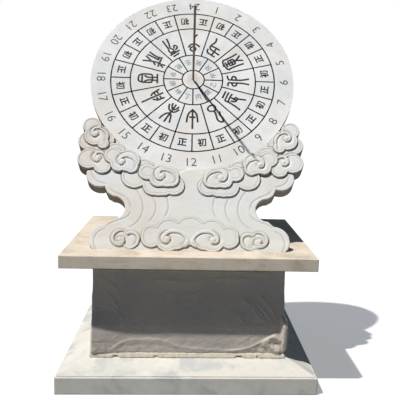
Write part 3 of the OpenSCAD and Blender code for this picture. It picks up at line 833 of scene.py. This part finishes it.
def foldHeight(across, high, folds):
    # the height of rounded ridges along lines that run across or up
    total = np.zeros_like(across)
    for strength, below, above, points in folds:
        px = np.array([p[0] for p in points], float)
        pz = np.array([p[1] for p in points], float)
        steep = abs(px[-1] - px[0]) < abs(pz[-1] - pz[0])
        ends = (pz, high) if steep else (px, across)
        order = np.argsort(ends[0])
        line = np.interp(ends[1], ends[0][order], (px if steep else pz)[order])
        side = (across if steep else high) - line
        first, last = ends[0].min(), ends[0].max()
        fade = np.clip((ends[1] - first + 14) / 40, 0, 1) * np.clip((last + 14 - ends[1]) / 40, 0, 1)
        reach = np.abs(side) / np.where(side < 0, below, above)
        total += strength * (0.5 * np.exp(-reach * 1.3) + 0.5 * np.exp(-reach ** 2)) * fade
    return total


def crumple(across, high):
    # straight facets between the peaks: each point takes its height from the nearest three
    points = np.array(crumples, float)
    away = np.hypot(across[:, None] - points[:, 0], high[:, None] - points[:, 1]) + 0.01
    near = np.sort(away, axis=1)
    weight = np.clip(near[:, 3:4] - away, 0, None)
    return (weight * points[:, 2]).sum(1) / weight.sum(1)


def spaced(share, stops, steps):
    # turns an even run from 0 to 1 into one that is finer where the step is small
    counts = [0.0]
    for low, high, step in zip(stops, stops[1:], steps):
        counts.append(counts[-1] + (high - low) / step)
    return np.interp(share * counts[-1], counts, stops)


def ramp(value, start, over, least=0.0):
    # rises from least to 1 over a length from the start, or falls where the length is negative
    return np.clip((value - start) / over, least, 1)


def noiseAt(x, y, high, wide, tall, seed):
    start = Vector((seed,) * 3)
    return np.array([noise.noise(Vector((a * wide, b * wide, c * tall)) + start)
                     for a, b, c in zip(x, y, high)])


def wrapPath(run, high):
    # where the wrap lies along its run, which way is outwards, and the height of its folds
    half, corner = film["half"], film["corner"]
    travelled = (run + 0.75 * straight) / (straight + bend)
    local = (travelled - np.floor(travelled)) * (straight + bend)
    t = np.clip(local, 0, straight) - straight / 2
    turn = np.clip(local - straight, 0, bend) / corner
    x, y, nx, ny, folds = [np.zeros_like(run) for _ in range(5)]
    sides = [("back", 0, 1), ("left", -1, 0), ("front", 0, -1), ("right", 1, 0)]
    for index, (name, ax, ay) in enumerate(sides):
        here = np.floor(travelled).astype(int) % 4 == index
        nx[here] = (ax * np.cos(turn) - ay * np.sin(turn))[here]
        ny[here] = (ay * np.cos(turn) + ax * np.sin(turn))[here]
        x[here] = (ax * (half - corner) - ay * t + nx * corner)[here]
        y[here] = (ay * (half - corner) + ax * t + ny * corner)[here]
        folds[here] = foldHeight(t, high, filmFolds[name])[here]
    return x, y, nx, ny, folds


def standOff(x, y, high, folds, rough, fine):
    # how far the film stands off the stone, and how far each point is inside the crumpled corner
    front, onFront = ramp(y, film["front"], -35), y < film["front"]
    bulge = {side: np.interp(high, filmBulge["heights"], filmBulge[side]) for side in ("others", "front")}
    out = folds + (bulge["others"] * (1 - front) + bulge["front"] * front)
    out += np.interp(x, *filmBulge["corner"]) * front * ramp(high, 330, -60) * ramp(high, 141, 60, 0.85)
    out += film["undulation"] * (0.6 + rough) + film["crinkle"] * fine * (1 + 2 * ramp(high, 230, -70))
    out += np.interp(high, *filmEars["forward"]) * ramp(x, 405, 7) * onFront
    below = np.interp(x, *filmCorner["edge"]) - high
    inside = ramp(below, 0, 8) * ramp(x, filmCorner["from"], 30) * onFront * (x < filmCorner["to"])
    facets = 1.5 * crumple(x, high) * ramp(high, 132, 25, 0.3)
    flare = filmCorner["flare"] * ramp(x, 250, 150) * ramp(below, 0, 90)
    out = out * (1 - 0.6 * inside) + inside * (facets + filmCorner["lift"] + flare)
    out = np.maximum(out, -0.2) * ramp(high, film["high"] + 4, -10, 0.1)
    return out * np.maximum(0.85 + 0.15 * np.sqrt(ramp(high, film["low"], 7)), inside), inside


def wrappedFilm():
    half, low, top = film["half"], film["low"], film["high"]
    around = 4 * (straight + bend)
    length, tall = around + film["lap"], top - low
    # the wrap starts near the right end of the back and runs left, front, right and back again
    frontFrom = 1.25 * straight + 1.2 * bend
    across = ([0, frontFrom, frontFrom + straight + 1.6 * bend, length],
              [film["wideStep"], film["fineStep"], film["wideStep"]])
    up = [low, film["fineBelow"], top], [film["fineRow"], film["wideRow"]]
    columns, rows = [int(sum((b - a) / step for a, b, step in zip(stops, stops[1:], steps)))
                     for stops, steps in (across, up)]
    bm = newGrid(columns, rows)
    place = np.array([p.co for p in bm.verts])
    run, high = spaced(place[:, 0] + 0.5, *across), spaced(place[:, 1] + 0.5, *up)
    x, y, nx, ny, folds = wrapPath(run, high)
    rough = noiseAt(x, y, high, 0.012, 0.014, film["seed"])
    fine = noiseAt(x, y, high, 0.05, 0.045, film["seed"] + 3)
    out, inCorner = standOff(x, y, high, folds, rough, fine)
    forward = np.clip(1 - np.abs(y + half) / 50, 0, 1) ** 1.5
    x, y = x + nx * np.minimum(out, 4), y + ny * out
    for name, side in (("right", 1), ("left", -1)):
        near = forward * ramp(x * side, half - 20, 18)
        x += side * np.interp(high, *filmEars[name]) * near * (1 + 0.3 * fine * (side > 0))
    lap = ramp(run, around - 30, 30) * film["lapLift"]
    x, y = x + nx * lap, y + ny * lap
    high = np.where(high > top - 1, high + 1.5 * rough, high)
    # painted light: the crumpled lower right corner and the ear are made paler, as if the sun fell on them
    pale = np.clip(inCorner + 0.8 * ramp(x, 404, 6) * ramp(high, 312, -20) * (y < film["front"]), 0, 1)
    paleLayer = bm.verts.layers.float.new("pale")
    for p, a, b, c, d in zip(bm.verts, x, y, high, pale):
        p.co = (a * mm, b * mm, c * mm)
        p[paleLayer] = d
    bmesh.ops.reverse_faces(bm, faces=bm.faces)
    piece = fromMesh("protectiveFilm", bm, filmSheet, 24)
    wall = piece.modifiers.new("thickness", "SOLIDIFY")
    wall.thickness = film["thick"] * mm
    wall.offset = 1
    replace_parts(piece, "protective_wrap")
    print("film triangles", 4 * len(piece.data.polygons))


# the edge tone is painted shade under the cap, the corner tone painted light on the crumpled corner and ear
filmTones = {"warm": (0.56, 0.49, 0.42), "cool": (0.49, 0.445, 0.395), "crease": (0.62, 0.585, 0.53),
             "corner": (0.64, 0.57, 0.46), "smear": (0.8, 0.73, 0.58), "edge": (0.05, 0.047, 0.043),
             "dust": (0.55, 0.5, 0.42), "capShadeBand": (0.513, 0.516), "smearBand": (0.519, 0.523),
             "dustBand": (0.40, 0.53)}


def filmFinish():
    # clouded film with pale creases, a corner and ear made paler as painted light, a dusty top, and a dark
    # top edge that is painted shade under the cap
    shader = Shader("filmSheet", Roughness=0.46, Specular_IOR_Level=0.2)
    broad = shader.noise(5, 3, 0.5)
    creases = shader.noise(26, 4, 0.6, 1.5)
    fine = shader.noise(120, 3, 0.6)
    high = shader.add("ShaderNodeSeparateXYZ", {}, [shader.place], out=2)
    # painted shade: a dark band along the top edge, under the cap's overhang
    edge = shader.band(high + 0.004 * creases, *filmTones["capShadeBand"])
    smear = shader.band(high + 0.03 * creases, *filmTones["smearBand"]) * (1 - edge)
    dust = shader.band(high - 0.05 * broad, *filmTones["dustBand"])
    pale = 1 - shader.band((creases - 0.5).size(), 0.0, 0.035)
    colour = shader.mix(shader.band(broad, 0.35, 0.7), filmTones["warm"], filmTones["cool"])
    # the pale attribute paints light on the corner and the ear
    for amount, tone in ((pale * 0.22, "crease"), (shader.attribute("pale") * 0.45, "corner"),
                         (smear * 0.3, "smear"), (edge * 0.65, "edge"), (dust * 0.35, "dust")):
        colour = shader.mix(amount, colour, filmTones[tone])
    normal = shader.bump(fine, 0.25, 0.0006, shader.bump(creases, 0.7, 0.005))
    return shader.finish(Base_Color=colour, Roughness=0.48 + 0.14 * fine, Normal=normal)


filmSheet = filmFinish()
wrappedFilm()
print("stage: film wrapped")

# The mortar bed, pressed out in an uneven bead round the foot of the film

# the bead as level and reach from its foot up, and its gaps as place across, half width and depth
bed = {"joint": 141, "half": 423, "step": 4, "seed": 3, "sides": 0.35, "corner": 12, "inside": -3,
       "bead": [(126, 27), (130, 26), (136, 24), (142, 21), (146, 14)], "lift": 131, "dent": 134,
       "gaps": [(-318, 12, 0.6), (-140, 8, 0.5), (229, 14, 1.0), (310, 6, 0.4)]}


def mortarBed():
    # a strip of grid bent round the four sides, its ends joined, then closed above and below
    half, bead = bed["half"], bed["bead"]
    bm = newGrid(4 * int(2 * half / bed["step"]), len(bead))
    for p in bm.verts:
        share, row = (p.co.x + 0.5) * 4 % 4, round((p.co.y + 0.5) * len(bead))
        side = int(share)
        ax, ay = ((0, -1), (1, 0), (0, 1), (-1, 0))[side]
        t = (share - side - 0.5) * 2 * half
        cx, cy = ax * half - ay * t, ay * half + ax * t
        level, reach = bead[row] if row < len(bead) else (bed["joint"], bed["inside"])
        if row < len(bead):
            bulge, small = [noise.noise(Vector((cx * k, cy * k, bed["seed"]))) for k in (0.03, 0.12)]
            gap = max(deep * math.exp(-((t - at) / wide) ** 4) for at, wide, deep in bed["gaps"])
            gap *= (side % 2 == 0) * (level < bed["dent"])
            reach *= (1 - 0.4 * gap) * (1 + 0.08 * bulge + 0.06 * small)
            level += (1.6 * bulge + small) * max(0, (level - bed["lift"]) / 14) + 3 * gap
        reaches = [max(0, 1 - (half - abs(c)) / bed["corner"]) * reach * (1 if c > 0 else -1)
                   for c in (cx, cy)]
        p.co = ((cx + bed["sides"] * reaches[0]) * mm, (cy + reaches[1]) * mm, level * mm)
    bmesh.ops.remove_doubles(bm, verts=bm.verts, dist=0.0002)
    closeUp(bm, [e for e in bm.edges if e.is_boundary])
    return fromMesh("mortarBed", bm, mortarStone, 30)


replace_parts(mortarBed(), "plinth_mortar")
print("stage: mortar laid")

# Camera, light and floor

camera = {"place": (-0.0152, -3.5358, 1.2314), "turn": (82.696, -1.675, -3.768), "lens": 64.8, "sensor": 36,
          "shift": -0.0934}
light = {"turn": (29.3, 0.0, -53.8), "power": 4.2, "spread": 1.1, "fill": (0.030, 0.050, 0.086),
         "backTurn": (66, 0, 160), "backPower": 0.22, "backSpread": 30, "backColour": (0.72, 0.87, 1.0)}
floorTones = {"lit": (0.122, 0.135, 0.148), "seen": (0.6, 0.6, 0.6), "glow": (0.3, 0.3, 0.3), "size": 12}


def addSun(name, turn, power, spread, colour=(1, 1, 1)):
    sun = bpy.data.lights.new(name, "SUN")
    sun.energy, sun.angle, sun.color = power, math.radians(spread), colour
    newObject(name, sun, turn)


view = bpy.data.cameras.new("camera")
view.lens, view.sensor_width, view.shift_x = camera["lens"], camera["sensor"], camera["shift"]
bpy.context.scene.camera = newObject("camera", view, camera["turn"], camera["place"])
addSun("key", light["turn"], light["power"], light["spread"])
addSun("backFill", light["backTurn"], light["backPower"], light["backSpread"], light["backColour"])


def seenRays(shader):
    # 1 for what the camera sees, straight or in metal and glass
    direct, glossy, through = [shader.add("ShaderNodeLightPath", out=kind)
                               for kind in ("Is Camera Ray", "Is Glossy Ray", "Is Transmission Ray")]
    return direct.most(glossy).most(through)


world = bpy.data.worlds.new("softFill")
bpy.context.scene.world = world
sky = Shader("softFill", world, "Background")
sky.finish(Color=sky.mix(seenRays(sky), light["fill"], (1, 1, 1)))

ground = Shader("paleFloor", Roughness=0.9, Emission_Strength=1.0)
seen = seenRays(ground)
ground.finish(Base_Color=ground.mix(seen, floorTones["lit"], floorTones["seen"]),
              Emission_Color=ground.mix(seen, (0, 0, 0), floorTones["glow"]))
floor = newObject("floor", newMesh("floor", newGrid(1, 1, floorTones["size"]), ground.owner))
bpy.context.scene.view_settings.view_transform = "Standard"
